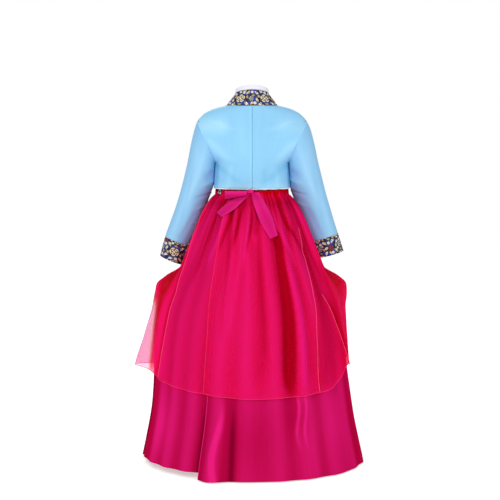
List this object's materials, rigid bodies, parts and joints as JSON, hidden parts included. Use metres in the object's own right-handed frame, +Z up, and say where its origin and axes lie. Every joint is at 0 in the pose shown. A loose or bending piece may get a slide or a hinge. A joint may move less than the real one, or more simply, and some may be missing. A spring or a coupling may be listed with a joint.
{
  "type": "korean hanbok",
  "caption": "Child's Korean hanbok: short sky-blue jacket with brocade collar and cuffs over a full crimson wrap skirt with a sheer overlay, held up at the sides.",
  "frame": {"origin": "base of the neck, midway between the shoulders, where the wearer's shoulders hold it", "axes": "+Z up along the wearer's spine, +Y out of the back, +X towards the wearer's left"},
  "size_m": [0.6526, 0.5688, 1.0518],
  "materials": {
    "sky_satin": "soft sheen",
    "brocade": "navy with gold and white woven flowers",
    "white_cotton": "matte",
    "crimson_satin": "satin",
    "crimson_organza": "sheer organza, solid here",
    "ribbon_satin": "satin"
  },
  "bodies": {
    "root": {"back_left": "sky_satin", "back_right": "sky_satin", "front_left": "sky_satin", "front_right": "sky_satin", "sleeve_left": "sky_satin", "sleeve_right": "sky_satin", "cuff_left": "brocade", "cuff_right": "brocade", "collar": "brocade", "collar_strip": "white_cotton", "hem_edge_back": "white_cotton", "hem_edge_left": "white_cotton", "hem_edge_right": "white_cotton", "tie_knot": "ribbon_satin", "tie_loop": "ribbon_satin", "tie_tail_left": "ribbon_satin", "tie_tail_right": "ribbon_satin", "waistband": "brocade", "satin_front": "crimson_satin", "satin_back_left": "crimson_satin", "satin_back_right": "crimson_satin", "organza_front": "crimson_organza", "organza_back_left": "crimson_organza", "organza_back_right": "crimson_organza", "bow_knot": "ribbon_satin", "bow_loop": "ribbon_satin", "bow_tail_left": "ribbon_satin", "bow_tail_right": "ribbon_satin"}
  },
  "joints": []
}
